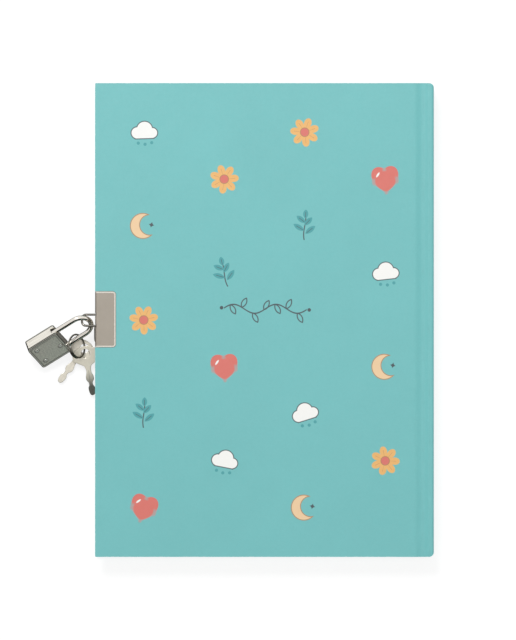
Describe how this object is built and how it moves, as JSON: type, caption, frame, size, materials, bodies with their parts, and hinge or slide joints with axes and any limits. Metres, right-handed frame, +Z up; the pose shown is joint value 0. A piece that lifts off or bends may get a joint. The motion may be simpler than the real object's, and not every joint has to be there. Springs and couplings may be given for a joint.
{
  "type": "lockable diary",
  "caption": "Hardcover diary with a grooved hinge, clasp plates with wire bails on the fore-edge, and a small riveted padlock that holds keys on a wire ring.",
  "frame": {"origin": "centre of the front cover's outer face, which lies on the table", "axes": "+X from the fore-edge to the spine, +Y from the foot of the book to its head, +Z up through the book to the rear cover"},
  "size_m": [0.1831, 0.212, 0.0165],
  "materials": {
    "laminate": "matte laminated printed paper, turquoise",
    "greyboard": "grey binder's board",
    "endpaper": "uncoated endpaper",
    "page": "uncoated writing paper",
    "lining": "woven spine lining",
    "band": "striped woven band",
    "clip": "satin nickel-plated sheet",
    "wire": "plated steel wire",
    "casing": "dark nickel plate, lightly pitted",
    "polished": "polished plated metal",
    "steel": "plain steel",
    "key": "nickel-plated key blank, worn"
  },
  "bodies": {
    "front_cover": {"front_board": "greyboard", "front_cover_paper": "laminate", "front_pastedown": "endpaper", "front_gutter": "laminate", "front_clip": "clip"},
    "front_bail": {"front_bail": "wire"},
    "block": {"signature_01": "page", "signature_02": "page", "signature_03": "page", "signature_04": "page", "signature_05": "page", "spine_lining": "lining", "head_band": "band", "tail_band": "band", "spine_board": "greyboard", "spine_paper": "laminate"},
    "front_flyleaf": {"front_flyleaf": "endpaper"},
    "signature_06": {"signature_06": "page"},
    "signature_07": {"signature_07": "page"},
    "signature_08": {"signature_08": "page"},
    "rear_flyleaf": {"rear_flyleaf": "endpaper"},
    "rear_cover": {"rear_board": "greyboard", "rear_cover_paper": "laminate", "rear_pastedown": "endpaper", "rear_gutter": "laminate", "rear_clip": "clip"},
    "rear_bail": {"rear_bail": "wire"},
    "shackle": {"shackle": "polished"},
    "lock_case": {"lock_band": "polished", "lock_front_plate": "casing", "lock_back_plate": "casing", "lock_rivet_1": "casing", "lock_rivet_2": "casing", "lock_rivet_3": "casing", "lock_heel_pin": "steel", "lock_spring": "steel"},
    "lock_bolt": {"lock_bolt": "steel"},
    "key_ring": {"key_ring": "wire"},
    "key_1": {"key_1": "key"},
    "key_2": {"key_2": "key"}
  },
  "joints": [
    {"name": "front_cover_open", "type": "hinge", "parent": "front_cover", "child": "block", "pos_m": [0.0747, 0, 0.0011], "axis": [0, -1, 0], "range_deg": [-90, 0], "deforming": ["front_gutter"]},
    {"name": "front_flyleaf_turn", "type": "hinge", "parent": "block", "child": "front_flyleaf", "pos_m": [0.07281, 0, 0.00264], "axis": [0, -1, 0], "range_deg": [0, 45]},
    {"name": "rear_cover_open", "type": "hinge", "parent": "block", "child": "rear_cover", "pos_m": [0.0747, 0, 0.01443], "axis": [0, 1, 0], "range_deg": [0, 180], "deforming": ["rear_gutter"]},
    {"name": "rear_flyleaf_turn", "type": "hinge", "parent": "block", "child": "rear_flyleaf", "pos_m": [0.07291, 0, 0.01299], "axis": [0, 1, 0], "range_deg": [0, 100.8]},
    {"name": "signature_08_turn", "type": "hinge", "parent": "block", "child": "signature_08", "pos_m": [0.07291, 0, 0.01299], "axis": [0, 1, 0], "range_deg": [0, 86.4]},
    {"name": "signature_07_turn", "type": "hinge", "parent": "block", "child": "signature_07", "pos_m": [0.07291, 0, 0.01299], "axis": [0, 1, 0], "range_deg": [0, 54]},
    {"name": "signature_06_turn", "type": "hinge", "parent": "block", "child": "signature_06", "pos_m": [0.07291, 0, 0.01299], "axis": [0, 1, 0], "range_deg": [0, 27]},
    {"name": "front_bail_fold", "type": "hinge", "parent": "front_cover", "child": "front_bail", "pos_m": [-0.0747, -0.006, 0.00122], "axis": [0, 1, 0], "range_deg": [-10, 27]},
    {"name": "rear_bail_lift", "type": "hinge", "parent": "rear_cover", "child": "rear_bail", "pos_m": [-0.0747, -0.0001, 0.01439], "axis": [0, -1, 0], "range_deg": [-42, 0]},
    {"name": "lock_swing", "type": "hinge", "parent": "rear_bail", "child": "shackle", "pos_m": [-0.08177, -0.0001, 0.01236], "axis": [0, 1, 0], "range_deg": [0, 32]},
    {"name": "shackle_open", "type": "hinge", "parent": "shackle", "child": "lock_case", "pos_m": [-0.09494, -0.00599, 0.01299], "axis": [-0.2664, 0.6561, -0.7061], "range_deg": [0, 37]},
    {"name": "bolt_slide", "type": "slide", "parent": "lock_case", "child": "lock_bolt", "axis": [0.4722, -0.5498, -0.689], "range_m": [0, 0.0007]},
    {"name": "ring_swing", "type": "hinge", "parent": "shackle", "child": "key_ring", "pos_m": [-0.08531, -0.00913, 0.00643], "axis": [0.8403, 0.517, 0.1633], "range_deg": [-32, 0]},
    {"name": "key_1_swing", "type": "hinge", "parent": "key_ring", "child": "key_1", "pos_m": [-0.08122, -0.0149, 0.00412], "axis": [0.2567, 0.7701, -0.584], "range_deg": [-12, 8]},
    {"name": "key_2_swing", "type": "hinge", "parent": "key_ring", "child": "key_2", "pos_m": [-0.08092, -0.0125, 0.00302], "axis": [-0.0344, 0.9752, -0.2187], "range_deg": [-5, 2]}
  ],
  "couplings": [
    {"joint": "front_flyleaf_turn", "follows": "front_cover_open", "ratio": -0.5},
    {"joint": "rear_flyleaf_turn", "follows": "rear_cover_open", "ratio": 0.56},
    {"joint": "signature_08_turn", "follows": "rear_cover_open", "ratio": 0.48},
    {"joint": "signature_07_turn", "follows": "rear_cover_open", "ratio": 0.3},
    {"joint": "signature_06_turn", "follows": "rear_cover_open", "ratio": 0.15}
  ]
}
